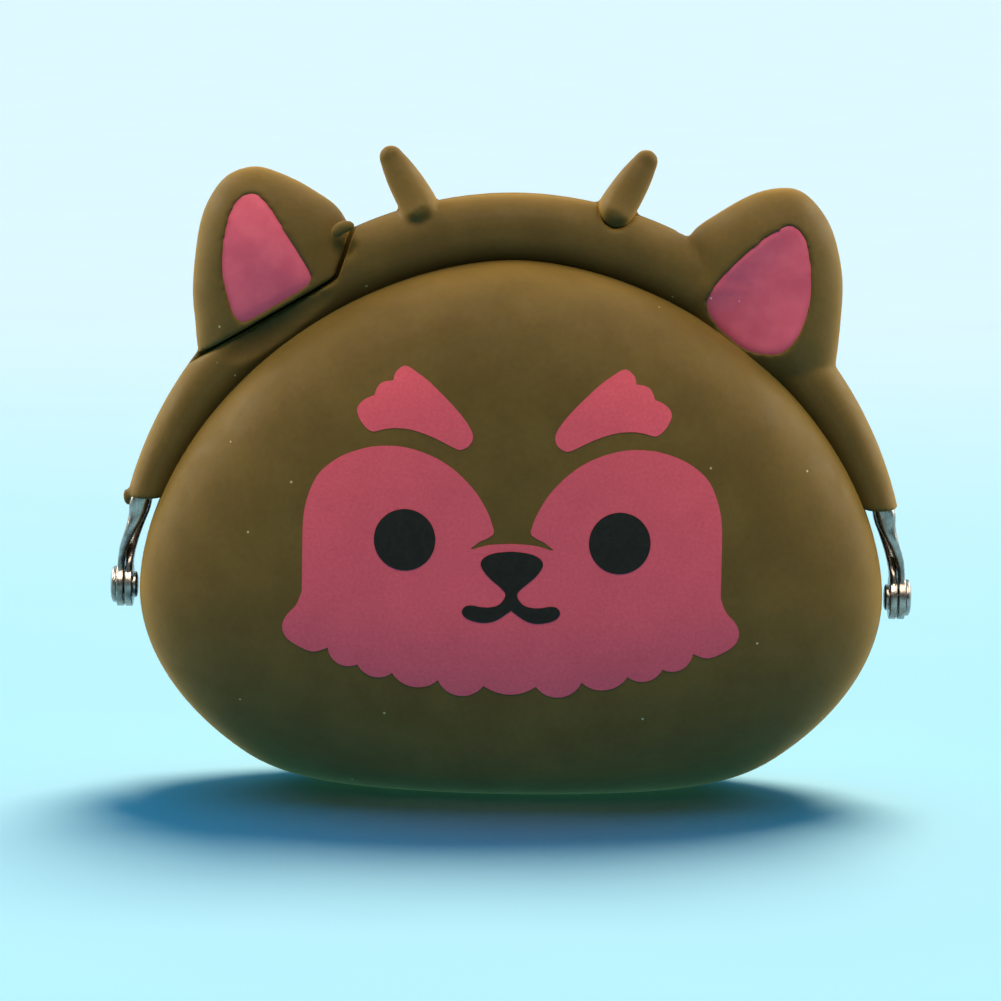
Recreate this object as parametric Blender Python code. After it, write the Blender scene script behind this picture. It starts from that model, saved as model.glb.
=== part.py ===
"""Silicone coin purse with an animal's head, closed by a sprung steel frame inside its rim.

Metres, +Z up. +X is to the right as the printed face is looked at, and the face looks to -Y.
The origin is the middle of the flat base. The two halves of the rim turn on one axis along X.
"""

import math

import bmesh
import bpy
from mathutils import Vector

MM = 0.001

# Clearances
touch_gap = 0.3 * MM          # between pieces that touch on the real purse
seat_gap = 0.5 * MM           # between an ear and the cut-out that it swings out of
overrun = 5 * MM              # how far a cutter passes what it cuts

# Pouch
hinge_height = 27 * MM
pouch_half_width = 51 * MM
pouch_rise = 46.8 * MM        # from the hinge axis up to the top of the pouch's outline
base_cut = 6.3 * MM           # how far the rounded outline would reach below the flat base
pouch_half_depth = 20 * MM
wall_thickness = 2 * MM
base_thickness = 2.4 * MM
mouth_half_width = 2 * MM     # from the parting plane to the top edge of either wall
outline_power = 1.8           # above the hinge, 2 is an ellipse and less is more pointed
shoulder_power = 3.0          # how square the bulge is towards the rim
belly_power = 2.5             # and towards the base

# Steel frame
strip_thickness = 0.7 * MM
strip_width = 3.4 * MM
eye_radius = 3 * MM
rivet_head_thickness = 0.7 * MM
rivet_head_radius = 2.5 * MM
rivet_tail_thickness = 0.6 * MM
rivet_tail_radius = 1.8 * MM
rivet_shank_radius = 1 * MM
rivet_pouch_gap = 0.4 * MM    # between a rivet's tail and the pouch
bow_share = 0.42              # where the bow lies across the sleeve
leg_shares = [                # height, flare, offset from the hinge axis, width over the eye's radius
    (0.00, 1.00, 0.00, 1.50), (0.26, 1.00, 0.00, 1.40), (0.44, 0.98, 0.62, 1.15), (0.66, 0.72, 1.00, 1.13),
]
dome_share = 0.72             # flat middle of a rivet's rounded end

# Rim sleeves
rim_end_rise = 12.5 * MM      # from the hinge axis up to the sleeves' lower ends
rim_side_width = 3.2 * MM     # across the sleeve, level with the hinge
rim_top_width = 7.6 * MM      # and at the top of the purse
rim_half_depth = 5.5 * MM
rim_power = 2.6               # how square the sleeve is outside
rim_seat_power = 6.0          # and where it sits on the pouch

# Ears, measured on the right one
ear_width = 24.5 * MM
ear_height = 30.8 * MM
ear_proud = 2 * MM            # how far an ear stands out in front of the sleeve that carries it
ear_sunk = 1 * MM             # and how far it stays behind the face of the other one
ear_middle_shares = (0.56, 0.413)
ear_seat_shares = [(0.313, 0.60), (0.1673, 1.0)]
ear_shares = [
    (0.02, 0.46), (0.13, 0.72), (0.47, 0.93), (0.70, 1.00), (0.88, 0.90), (0.97, 0.67),
    (1.00, 0.42), (0.96, 0.16), (0.84, 0.02), (0.55, 0.10), (0.24, 0.26),
]
ear_round_shares = [(1.0, 0.82), (0.93, 0.90), (0.75, 0.965), (0.4, 1.0)]
inlay_shares = [
    (0.69, 0.84), (0.77, 0.81), (0.82, 0.68), (0.83, 0.54), (0.79, 0.40), (0.70, 0.28),
    (0.57, 0.24), (0.38, 0.29), (0.26, 0.38), (0.25, 0.48), (0.35, 0.61), (0.49, 0.75),
]
inlay_thickness = 0.6 * MM
inlay_step = 0.6 * MM         # from the ear's front face down to the inlay's

# Fingers of the kiss lock
finger_length = 10.5 * MM
finger_lean = math.radians(32)
finger_shares = (0.412, 0.76)
finger_foot_radius = 2.15 * MM
finger_foot_step = 1.1 * MM   # from the sleeve's face back to the finger's foot
finger_tip_radius = 1.4 * MM
finger_slot_depth = 2.8 * MM  # the slot that the other half's sleeve leaves for a finger
prong_radius = 0.6 * MM
prong_reach_share = 0.78
prong_root_share = 0.6        # where a prong stands on the bow, from the parting plane to the bow's middle

# Mesh fineness
outline_count = 56
depth_count = 18
rim_count = 36
rim_section_count = 12
round_count = 20

# Worked out from the sizes above
eye_stack = 2 * strip_thickness + 3 * touch_gap
tail_face = pouch_half_width + rivet_pouch_gap
hinge_half_span = tail_face + rivet_tail_thickness + eye_stack + rivet_head_thickness
pouch_drop = hinge_height + base_cut
rim_height = hinge_height + rim_end_rise
rim_half_width = pouch_half_width + rim_side_width
rim_rise = pouch_rise + rim_top_width
rim_top = hinge_height + rim_rise
bow_middle_y = (rim_half_depth - touch_gap) / 2
ear_own_depth = rim_half_depth + ear_proud
ear_far_depth = rim_half_depth - ear_sunk
ear_top_reach = rim_top + ear_height
finger_foot_depth = rim_half_depth - finger_foot_step
finger_floor = rim_top - finger_slot_depth


def new_material(name, colour, roughness, metallic=0.0):
    """A plain Principled material, with the linear colour that the part has in the photograph."""
    material = bpy.data.materials.new(name)
    material.use_nodes = True
    shader = material.node_tree.nodes["Principled BSDF"]
    shader.inputs["Base Color"].default_value = (*colour, 1.0)
    shader.inputs["Roughness"].default_value = roughness
    shader.inputs["Metallic"].default_value = metallic
    return material


def new_object(name, bm, smooth_angle=math.radians(35)):
    """An object from a bmesh, with its faces turned outwards."""
    bmesh.ops.recalc_face_normals(bm, faces=bm.faces)
    mesh = bpy.data.meshes.new(name)
    bm.to_mesh(mesh)
    bm.free()
    mesh.shade_smooth()
    mesh.set_sharp_from_angle(angle=smooth_angle)
    item = bpy.data.objects.new(name, mesh)
    bpy.context.scene.collection.objects.link(item)
    return item


def loft(name, rings):
    """A closed solid through rings of points, each capped or closed to a point at the ends."""
    bm = bmesh.new()
    loops = [[bm.verts.new(point) for point in ring] for ring in rings]
    for near, far in zip(loops, loops[1:]):
        if len(near) == 1:
            for k in range(len(far)):
                bm.faces.new((near[0], far[k], far[(k + 1) % len(far)]))
        elif len(far) == 1:
            for k in range(len(near)):
                bm.faces.new((near[(k + 1) % len(near)], near[k], far[0]))
        else:
            for k in range(len(near)):
                after = (k + 1) % len(near)
                bm.faces.new((near[k], near[after], far[after], far[k]))
    for end in (loops[0], loops[-1]):
        if len(end) > 2:
            bm.faces.new(end)
    bmesh.ops.triangulate(bm, faces=bm.faces)
    return new_object(name, bm)


def box(name, low, high):
    """A closed box between two corners."""
    rings = []
    for z in (low[2], high[2]):
        rings.append([(low[0], low[1], z), (high[0], low[1], z), (high[0], high[1], z), (low[0], high[1], z)])
    return loft(name, rings)


def prism(name, outline, near, far):
    """An outline in the XZ plane, run along Y from near to far."""
    return loft(name, [[(x, y, z) for x, z in outline] for y in (near, far)])


def combine(target, other, operation):
    """Applies an exact Boolean to target and removes the other object."""
    modifier = target.modifiers.new(operation.title(), "BOOLEAN")
    modifier.operation = operation
    modifier.solver = "EXACT"
    modifier.object = other
    shape = bpy.data.meshes.new_from_object(target.evaluated_get(bpy.context.evaluated_depsgraph_get()))
    target.modifiers.clear()
    target.data = shape
    bpy.data.objects.remove(other)


def cut(target, *cutters):
    for cutter in cutters:
        combine(target, cutter, "DIFFERENCE")


def unite(target, *others):
    for other in others:
        combine(target, other, "UNION")


def keep_inside(target, keeper):
    combine(target, keeper, "INTERSECT")


def finish(item, material):
    """Welds what a Boolean left doubled, and gives the piece its material."""
    bm = bmesh.new()
    bm.from_mesh(item.data)
    bmesh.ops.remove_doubles(bm, verts=bm.verts, dist=touch_gap / 100)
    bmesh.ops.triangulate(bm, faces=bm.faces)
    bm.to_mesh(item.data)
    bm.free()
    item.data.materials.clear()
    item.data.materials.append(material)


def outline_point(angle, inset):
    """A point of the pouch's outline seen from the front, measured from the hinge axis."""
    rise = math.sin(angle)
    width = pouch_half_width - inset
    if rise >= 0:
        height = pouch_rise - inset
        power = outline_power
    else:
        height = pouch_drop - inset
        power = 2.0
    reach_x = abs(math.cos(angle)) ** (2 / power)
    reach_z = abs(rise) ** (2 / power)
    return math.copysign(width * reach_x, math.cos(angle)), math.copysign(height * reach_z, rise)


def pouch_body(name, inset):
    """The pouch as a closed body: one super-ellipse from front to back for each outline angle."""
    depth = pouch_half_depth - inset
    rings = [[(0, -depth, hinge_height)]]
    for step in range(1, depth_count):
        turn = math.pi * step / depth_count
        ring = []
        for k in range(outline_count):
            angle = 2 * math.pi * k / outline_count
            lift = 0.5 + 0.5 * math.sin(angle)
            power = belly_power + (shoulder_power - belly_power) * lift
            reach = math.sin(turn) ** (2 / power)
            out = abs(math.cos(turn)) ** (2 / power)
            x, z = outline_point(angle, inset)
            y = math.copysign(depth * out, -math.cos(turn))
            ring.append((x * reach, y, hinge_height + z * reach))
        rings.append(ring)
    rings.append([(0, depth, hinge_height)])
    return loft(name, rings)


def slab(name, low_z, high_z, low_y=None, high_y=None):
    """A box wider than the purse, between two heights and, where given, two depths."""
    reach = hinge_half_span + overrun
    near = -reach if low_y is None else low_y
    far = reach if high_y is None else high_y
    return box(name, (-reach, near, low_z), (reach, far, high_z))


def pouch_piece(name, keeper, material):
    """The part of the pouch's wall that lies inside a keeper."""
    piece = pouch_body(name, 0)
    cavity = pouch_body("cavity", wall_thickness)
    keep_inside(cavity, slab("above the base", base_thickness, rim_top + overrun))
    cut(piece, cavity)
    keep_inside(piece, keeper)
    finish(piece, material)
    return piece


def make_pouch(silicone):
    """The moulding's bowl, its two flexible belly bands and its two upper walls."""
    half_gap = touch_gap / 2
    reach = pouch_half_depth + overrun
    pouch_piece("pouch_bowl", slab("keeper", 0, hinge_height - half_gap), silicone)
    for name, side in (("front", -1), ("rear", 1)):
        near, far = sorted((side * half_gap, side * reach))
        band = slab("keeper", hinge_height + half_gap, rim_height - half_gap, near, far)
        pouch_piece(name + "_belly", band, silicone)
        near, far = sorted((side * mouth_half_width, side * reach))
        upper = slab("keeper", rim_height + half_gap, rim_top + overrun, near, far)
        pouch_piece(name + "_wall", upper, silicone)


def rim_point(share_along, share_across, spread=0.0):
    """A point across the rim: share_across 0 lies just outside the pouch and 1 is the outer edge."""
    inner_width = pouch_half_width + touch_gap
    inner_rise = pouch_rise + touch_gap
    start = math.asin((rim_end_rise / inner_rise) ** (outline_power / 2))
    angle = start + (math.pi - 2 * start) * share_along
    inner_x = math.copysign(inner_width * abs(math.cos(angle)) ** (2 / outline_power), math.cos(angle))
    inner_z = inner_rise * math.sin(angle) ** (2 / outline_power)
    start = math.asin(rim_end_rise / rim_rise)
    angle = start + (math.pi - 2 * start) * share_along
    inner = Vector((inner_x, inner_z))
    outer = Vector((rim_half_width * math.cos(angle), rim_rise * math.sin(angle)))
    across = (outer - inner).normalized()
    return inner.lerp(outer, share_across) + across * spread


def sleeve_body(name, side):
    """One half of the rim, flat on the parting plane and rounded on its own side."""
    face = touch_gap / 2
    rings = []
    for k in range(rim_count + 1):
        ring = []
        for step in range(rim_section_count + 1):
            turn = math.pi * step / rim_section_count
            power = rim_power if math.cos(turn) > 0 else rim_seat_power
            reach = abs(math.cos(turn)) ** (2 / power)
            across = 0.5 + 0.5 * math.copysign(reach, math.cos(turn))
            out = face + (rim_half_depth - face) * math.sin(turn) ** (2 / power)
            x, z = rim_point(k / rim_count, across)
            ring.append((x, side * out, hinge_height + z))
        rings.append(ring)
    return loft(name, rings)


def bow_stations(side, outermost):
    """Centre, direction across and width in Y of the strip, from the right eye over the top to the left."""
    eye_x = hinge_half_span - rivet_head_thickness - touch_gap - strip_thickness / 2
    if not outermost:
        eye_x -= strip_thickness + touch_gap
    rim_y = side * bow_middle_y
    arch = []
    for k in range(rim_count + 1):
        across = (rim_point(k / rim_count, 1) - rim_point(k / rim_count, 0)).normalized()
        arch.append((rim_point(k / rim_count, bow_share), across, rim_y, strip_width))
    top = arch[0][0]
    leg = []
    for rise_share, flare_share, lead_share, width in leg_shares:
        place = Vector((top.x + (eye_x - top.x) * flare_share, top.y * rise_share))
        leg.append((place, Vector((1, 0)), rim_y * lead_share, eye_radius * width))
    other_leg = [(Vector((-c.x, c.y)), Vector((-a.x, a.y)), y, w) for c, a, y, w in reversed(leg)]
    return leg + arch + other_leg


def strip_body(name, stations, grow=0.0):
    """A flat strip through its stations, grown all round by a clearance."""
    half = strip_thickness / 2 + grow
    rings = []
    for centre, across, y, width in stations:
        near = centre - across * half
        far = centre + across * half
        low = y - width / 2 - grow
        high = y + width / 2 + grow
        ring = [(far, low), (far, high), (near, high), (near, low)]
        rings.append([(p.x, depth, hinge_height + p.y) for p, depth in ring])
    return loft(name, rings)


def disc(name, low_x, high_x, radius, low_radius=None):
    """A round piece on the hinge axis, from low_x to high_x, wider at high_x where two radii are given."""
    rings = []
    for x, r in ((low_x, radius if low_radius is None else low_radius), (high_x, radius)):
        ring = []
        for k in range(round_count):
            turn = 2 * math.pi * k / round_count
            ring.append((x, r * math.cos(turn), hinge_height + r * math.sin(turn)))
        rings.append(ring)
    return loft(name, rings)


def make_bow(name, side, outermost, steel):
    """A sprung steel strip: an arch in the sleeve, two bare legs and two hinge eyes."""
    stations = bow_stations(side, outermost)
    bow = strip_body(name, stations)
    eye_x = stations[0][0].x
    for end in (-1, 1):
        low, high = sorted((end * (eye_x - strip_thickness / 2), end * (eye_x + strip_thickness / 2)))
        unite(bow, disc("eye", low, high, eye_radius))
        cut(bow, disc("eye hole", low - overrun, high + overrun, rivet_shank_radius + touch_gap))
    finish(bow, steel)


def make_rivet(name, end, steel):
    """A rivet with a domed head outside and its tail between the bows and the pouch."""
    head_face = hinge_half_span
    head_seat = head_face - rivet_head_thickness
    tail_seat = tail_face + rivet_tail_thickness
    profile = [
        (tail_face, rivet_tail_radius * dome_share), (tail_face + rivet_tail_thickness / 3, rivet_tail_radius),
        (tail_seat, rivet_tail_radius), (tail_seat, rivet_shank_radius), (head_seat, rivet_shank_radius),
        (head_seat, rivet_head_radius), (head_face - rivet_head_thickness / 2, rivet_head_radius),
        (head_face - rivet_head_thickness / 6, rivet_head_radius * dome_share),
    ]
    rings = [[(end * tail_face, 0, hinge_height)]]
    for x, radius in profile:
        ring = []
        for k in range(round_count):
            turn = 2 * math.pi * k / round_count
            ring.append((end * x, radius * math.cos(turn), hinge_height + radius * math.sin(turn)))
        rings.append(ring)
    rings.append([(end * head_face, 0, hinge_height)])
    finish(loft(name, rings), steel)


def ear_seat():
    """The two ends of an ear's seat on the other half's sleeve."""
    lift = Vector((0, hinge_height))
    return [rim_point(along, across) + lift for along, across in ear_seat_shares]


def ear_corner():
    """The lower inner corner of the ear's box, hung on the middle of its seat."""
    inner, outer = ear_seat()
    width_share, height_share = ear_middle_shares
    return (inner + outer) / 2 - Vector((ear_width * width_share, ear_height * height_share))


def smooth_outline(shares, steps):
    """A closed Catmull-Rom curve through shares of the ear's box, as points on the right ear."""
    low = ear_corner()
    points = [low + Vector((ear_width * x, ear_height * z)) for x, z in shares]
    curve = []
    for k, here in enumerate(points):
        before = points[k - 1]
        after = points[(k + 1) % len(points)]
        later = points[(k + 2) % len(points)]
        for step in range(steps):
            t = step / steps
            pull = (after - before) * t + (2 * before - 5 * here + 4 * after - later) * t ** 2
            pull += (3 * here - before - 3 * after + later) * t ** 3
            curve.append(here + pull / 2)
    return curve


def pillow(name, side, own):
    """An ear: its outline, drawn in towards the front and the back. side is its half, own is +1 or -1 in X."""
    outline = smooth_outline(ear_shares, 3)
    middle = sum(outline, Vector((0, 0))) / len(outline)
    levels = [(-ear_far_depth * depth, scale) for depth, scale in ear_round_shares]
    levels += [(ear_own_depth * depth, scale) for depth, scale in reversed(ear_round_shares)]
    rings = []
    for y, scale in levels:
        ring = [middle + (point - middle) * scale for point in outline]
        rings.append([(own * p.x, side * y, p.y) for p in ring])
    return loft(name, rings)


def seat_line(grow):
    """The bottom of the cut-out for an ear, moved out of the ear's way by grow."""
    inner, outer = ear_seat()
    along = (outer - inner).normalized()
    down = Vector((along.y, -along.x)) * grow
    wall = inner + down - Vector((grow, 0))
    return wall, outer + down + along * (ear_width / 2)


def ear_pocket(name, side, own):
    """What an ear's half cuts from the other half's sleeve."""
    wall, end = seat_line(seat_gap / 2)
    outline = [wall, end, Vector((end.x, ear_top_reach)), Vector((wall.x, ear_top_reach))]
    return prism(name, [(own * p.x, p.y) for p in outline], 0, side * (rim_half_depth + overrun))


def trim_ear(ear, side, own):
    """Takes from an ear all that lies under or inside its seat in the other half's sleeve."""
    wall, end = seat_line(-seat_gap / 2)
    corner = ear_corner() - Vector((overrun, overrun))
    near, far = sorted((-side * touch_gap / 2, side * (ear_own_depth + overrun)))
    under = [wall, end, Vector((end.x, corner.y)), Vector((wall.x, corner.y))]
    cut(ear, prism("under the seat", [(own * p.x, p.y) for p in under], near, far))
    low, high = sorted((own * corner.x, own * wall.x))
    cut(ear, box("beside the seat", (low, near, corner.y), (high, far, ear_top_reach)))


def ear_front_face(side):
    """Depth of the ear's front face, which the printed side of the purse shows."""
    return -ear_own_depth if side < 0 else -ear_far_depth


def inlay_body(name, own, front, back, grow):
    """The inlay's outline between two depths, grown by a clearance."""
    outline = smooth_outline(inlay_shares, 3)
    middle = sum(outline, Vector((0, 0))) / len(outline)
    grown = [point + (point - middle).normalized() * grow for point in outline]
    return prism(name, [(own * p.x, p.y) for p in grown], front, back)


def make_inlay(name, side, own, silicone):
    """A pink inlay, set below the ear's front face."""
    front = ear_front_face(side) + inlay_step
    inlay = inlay_body(name, own, front, front + inlay_thickness, -touch_gap)
    if side > 0:
        trim_ear(inlay, -side, own)
    finish(inlay, silicone)


def finger_axis(own):
    """The middle of a finger's foot and of its round tip."""
    place = rim_point(*finger_shares)
    foot = Vector((own * place.x, 0, hinge_height + place.y))
    along = Vector((own * math.sin(finger_lean), 0, math.cos(finger_lean)))
    return foot, foot + along * finger_length


def tapered(name, foot, tip, foot_size, tip_size, cap_steps):
    """A round bar from foot to tip with a half-round end; sizes are its radii along X and Y."""
    along = (tip - foot).normalized()
    depth = Vector((0, 1, 0))
    across = depth.cross(along)
    stations = [(foot, foot_size), (foot.lerp(tip, 1 / 3), None), (foot.lerp(tip, 2 / 3), None), (tip, tip_size)]
    rings = []
    for k, (centre, size) in enumerate(stations):
        t = k / (len(stations) - 1)
        ease = math.sqrt(t)
        radii = size or [a + (b - a) * e for a, b, e in zip(foot_size, tip_size, (t, ease))]
        rings.append((centre, radii))
    for step in range(1, cap_steps):
        turn = math.pi / 2 * step / cap_steps
        rings.append((tip + along * tip_size[0] * math.sin(turn), [r * math.cos(turn) for r in tip_size]))
    solid = []
    for centre, radii in rings:
        ring = []
        for k in range(round_count):
            turn = 2 * math.pi * k / round_count
            ring.append(centre + across * radii[0] * math.cos(turn) + depth * radii[1] * math.sin(turn))
        solid.append(ring)
    if cap_steps:
        solid.append([tip + along * tip_size[0]])
    return loft(name, solid)


def finger_body(name, own):
    foot, tip = finger_axis(own)
    foot_size = (finger_foot_radius, finger_foot_depth)
    tip_size = (finger_tip_radius, finger_tip_radius)
    return tapered(name, foot, tip, foot_size, tip_size, 4)


def finger_slot(name, side, own):
    """What a finger's half cuts from the other half's sleeve: a slot, open at the top and at the parting plane."""
    foot, tip = finger_axis(own)
    lean = (tip - foot) / (tip.z - foot.z)
    half = finger_foot_radius / (tip - foot).normalized().z + seat_gap
    low = foot + lean * (finger_floor - seat_gap - foot.z)
    high = foot + lean * (rim_top + overrun - foot.z)
    outline = [(low.x - half, low.z), (low.x + half, low.z), (high.x + half, high.z), (high.x - half, high.z)]
    return prism(name, outline, 0, side * (rim_half_depth + overrun))


def prong_body(name, side, own, grow, deeper):
    """A straight pin from the bow up the middle of the finger."""
    foot, tip = finger_axis(own)
    end = foot.lerp(tip, prong_reach_share)
    start = foot.copy()
    start.y = side * bow_middle_y * prong_root_share
    start.z = bow_top_at(start.x) + touch_gap
    along = (end - start).normalized()
    start = start - along * deeper
    end = end + along * grow
    radius = prong_radius + grow
    return tapered(name, start, end, (radius, radius), (radius, radius), 0)


def bow_top_at(x):
    """Height of the bow's outer face over a place along X near the middle of the rim."""
    points = [rim_point(k / rim_count, bow_share, strip_thickness / 2) for k in range(rim_count + 1)]
    near, far = sorted(points, key=lambda p: abs(p.x - x))[:2]
    t = (x - near.x) / (far.x - near.x)
    return hinge_height + near.y + (far.y - near.y) * t


def make_half(name, side, ear_at, silicone, pink, steel):
    """One half of the rim: sleeve with an ear and a finger, bow, prong and inlay."""
    finger_at = -ear_at
    sleeve = sleeve_body(name + "_rim_sleeve", side)
    ear = pillow("ear", side, ear_at)
    trim_ear(ear, -side, ear_at)
    cut(sleeve, ear_pocket("pocket", side, -ear_at))
    cut(sleeve, finger_slot("slot", side, -finger_at))
    finger = finger_body("finger", finger_at)
    near, far = sorted((-side * touch_gap / 2, -side * hinge_half_span))
    cut(finger, slab("under the slot", 0, finger_floor, near, far))
    unite(sleeve, ear, finger)
    # The pouch's wall stays clear of the foot of the ear.
    keep_off = pouch_body("pouch grown", -touch_gap)
    cut(sleeve, keep_off)
    tunnel = strip_body("tunnel", bow_stations(side, side < 0)[3:-3], touch_gap)
    cut(sleeve, tunnel)
    cut(sleeve, prong_body("bore", side, finger_at, touch_gap, strip_thickness))
    front = ear_front_face(side)
    floor = front + inlay_step + inlay_thickness + touch_gap
    cut(sleeve, inlay_body("recess", ear_at, front - overrun, floor, 0))
    finish(sleeve, silicone)
    make_bow(name + "_bow", side, side < 0, steel)
    finish(prong_body(name + "_prong", side, finger_at, 0, 0), steel)
    make_inlay(("right" if ear_at > 0 else "left") + "_ear_inlay", side, ear_at, pink)


def main():
    for item in list(bpy.data.objects):
        bpy.data.objects.remove(item)
    silicone = new_material("olive silicone", (0.105, 0.068, 0.018), 0.55)
    pink = new_material("pink silicone", (0.42, 0.08, 0.12), 0.55)
    steel = new_material("nickel-plated steel", (0.55, 0.54, 0.52), 0.25, 1.0)
    make_pouch(silicone)
    make_half("front", -1, 1, silicone, pink, steel)
    make_half("rear", 1, -1, silicone, pink, steel)
    make_rivet("hinge_rivet_left", -1, steel)
    make_rivet("hinge_rivet_right", 1, steel)


main()
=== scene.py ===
"""Looks of a silicone coin purse with an animal's head, closed by a sprung steel frame in its rim.

Run as a script in Blender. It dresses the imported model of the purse, in metres, +Z up, with the
printed face towards -Y. Each group of pieces has its own operator, listed in one panel.
"""
import math

import bpy
from bpy.props import FloatProperty, FloatVectorProperty, PointerProperty
from mathutils import Matrix, Vector
from mathutils.geometry import intersect_line_line_2d


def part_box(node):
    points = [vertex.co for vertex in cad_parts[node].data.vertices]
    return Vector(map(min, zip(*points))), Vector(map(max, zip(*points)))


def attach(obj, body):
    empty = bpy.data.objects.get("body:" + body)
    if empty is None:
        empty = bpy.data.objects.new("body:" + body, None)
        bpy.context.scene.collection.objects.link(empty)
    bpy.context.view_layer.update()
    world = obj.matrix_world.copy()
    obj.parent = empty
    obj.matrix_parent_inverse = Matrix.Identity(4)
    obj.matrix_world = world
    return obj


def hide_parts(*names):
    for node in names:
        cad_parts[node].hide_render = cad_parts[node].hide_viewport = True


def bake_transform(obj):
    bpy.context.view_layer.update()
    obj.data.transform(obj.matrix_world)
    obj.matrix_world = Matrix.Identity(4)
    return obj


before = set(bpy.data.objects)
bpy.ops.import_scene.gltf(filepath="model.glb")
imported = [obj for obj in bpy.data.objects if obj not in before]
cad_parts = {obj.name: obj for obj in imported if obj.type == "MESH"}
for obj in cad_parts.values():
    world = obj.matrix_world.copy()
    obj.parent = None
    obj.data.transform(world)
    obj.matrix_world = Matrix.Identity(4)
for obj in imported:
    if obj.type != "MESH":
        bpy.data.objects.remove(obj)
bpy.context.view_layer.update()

bl_info = {
    "name": "Silicone Coin Purse",
    "version": (1, 0, 0),
    "blender": (4, 5, 0),
    "location": "3D View > Sidebar > Purse",
    "description": "Dresses a silicone coin purse with a sprung rim: mouldings, steel, print and studio",
    "category": "Object",
}

MM = 0.001
HINGE_HEIGHT = (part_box("hinge_rivet_left")[0].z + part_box("hinge_rivet_left")[1].z) / 2
TOUCH_GAP = 0.3 * MM
TINY = TOUCH_GAP / 100
HALVES = (("front", -1), ("rear", 1))
SOFT_CREASE = 50  # degrees past which silicone shows an edge
SHARP_CREASE = 40  # degrees past which steel and ink show one


def linear(hex_colour):
    """The linear colour that an sRGB hex value stands for."""
    channels = [int(hex_colour[k:k + 2], 16) / 255 for k in (1, 3, 5)]
    return [c / 12.92 if c <= 0.04045 else ((c + 0.055) / 1.055) ** 2.4 for c in channels]


def length(name, description, size):
    """A length that a user can change, given in millimetres."""
    return FloatProperty(name=name, description=description, default=size * MM, unit="LENGTH", precision=5)


def number(name, description, value):
    """A plain number that a user can change."""
    return FloatProperty(name=name, description=description, default=value, precision=3)


def slant(name, description, degrees):
    """An angle that a user can change, given in degrees."""
    return FloatProperty(name=name, description=description, default=math.radians(degrees), subtype="ANGLE")


def colour(name, description, hex_colour):
    """A colour that a user can change, given as sRGB hex."""
    return FloatVectorProperty(name=name, description=description, default=linear(hex_colour),
                               subtype="COLOR", size=3, min=0, max=1)


class PouchSizes(bpy.types.PropertyGroup):
    """The soft bowl and its two walls."""

    half_width: length("Half width", "From the middle to the pouch's side, level with the hinge", 51)
    rise: length("Rise", "From the hinge axis up to the top of the pouch's outline", 46)
    base_cut: length("Base cut", "How far the rounded outline would reach below the flat base", 6.3)
    half_depth: length("Half depth", "From the parting plane to the front", 20)
    wall: length("Wall", "Thickness of the silicone", 2)
    base_round: length("Base round", "How softly the base flattens", 4.5)
    outline_power: number("Outline power", "Shape of the outline above the hinge, 2 is an ellipse", 1.8)
    under_power: number("Under power", "Shape of the outline below the hinge", 1.95)
    shoulder_power: number("Shoulder power", "How square the bulge is towards the rim", 3.3)
    belly_power: number("Belly power", "How square the bulge is towards the base", 1.85)
    bend_low: length("Bend start", "Height below which the pouch stays with its bowl", 18)
    bend_high: length("Bend end", "Height above which each wall turns with its rim", 42)


class RimSizes(bpy.types.PropertyGroup):
    """The two moulded sleeves round the steel frame."""

    end_rise: length("End rise", "From the hinge axis up to the sleeves' lower ends", 12.5)
    side_width: length("Side width", "Across the sleeve, level with the hinge", 3.4)
    top_width: length("Top width", "Across the sleeve at the top", 8.8)
    half_depth: length("Half depth", "From the parting plane to the sleeve's front", 5.5)
    power: number("Roundness", "How square the sleeve's section is", 2.25)
    arch_power: number("Arch power", "Shape of the sleeve's outer edge, 2 is an ellipse", 1.96)
    merge: length("Merge", "How far the sleeve's inner side is moulded into the pouch", 1.3)
    bow_share: number("Bow place", "Where the bow lies across the sleeve", 0.24)
    leg_share: number("Leg place", "Where the bow leaves the sleeve's lower end", 0.52)
    voxel: length("Voxel", "Fineness that the mouldings are meshed with", 0.34)


class EarSizes(bpy.types.PropertyGroup):
    """The two ears and their pink inlays, measured on the right ear."""

    width: length("Width", "Of the box round the ear's outline", 24.5)
    height: length("Height", "Of the box round the ear's outline", 30.8)
    inner_side: length("Inner side", "From the middle to the box round the ear", 20.06)
    low_rise: length("Low rise", "From the hinge axis up to the box round the ear", 27.25)
    proud: length("Proud", "How far an ear stands out in front of the sleeve that carries it", 2)
    overhang: length("Overhang", "How far it stands out over the sleeve that it swings away from", 1.5)
    roundness: number("Roundness", "How square the ear's section is from front to back", 2.2)
    seat_gap: length("Seat gap", "Between an ear and the cut-out that it swings out of", 0.4)
    wall_lean: number("Wall lean", "Slant of the cut-out's inner wall towards the middle", 0.33)
    inlay_step: length("Inlay step", "From the ear's surface down to the inlay's edge", 0.26)
    inlay_hold: length("Inlay hold", "How far the inlay reaches under the recess's edge", 0.7)
    inlay_depth: length("Inlay depth", "Thickness of the inlay at its thinnest", 0.9)
    inlay_crowns: FloatVectorProperty(name="Inlay crowns", size=2, unit="LENGTH", precision=5,
                                      description="How far the left and the right inlay's middles stand out",
                                      default=(0.9 * MM, -0.2 * MM))
    fold_rise: length("Fold rise", "From the left ear's seat up to the fold pressed into its inlay", 1.7)
    fold_width: length("Fold width", "Over which that fold fades out", 0.5)
    groove: length("Seat groove", "Radius of the hollow in the sleeve's face below an ear's seat", 4)
    groove_depth: length("Seat groove depth", "Depth of that hollow", 1.4)


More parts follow.
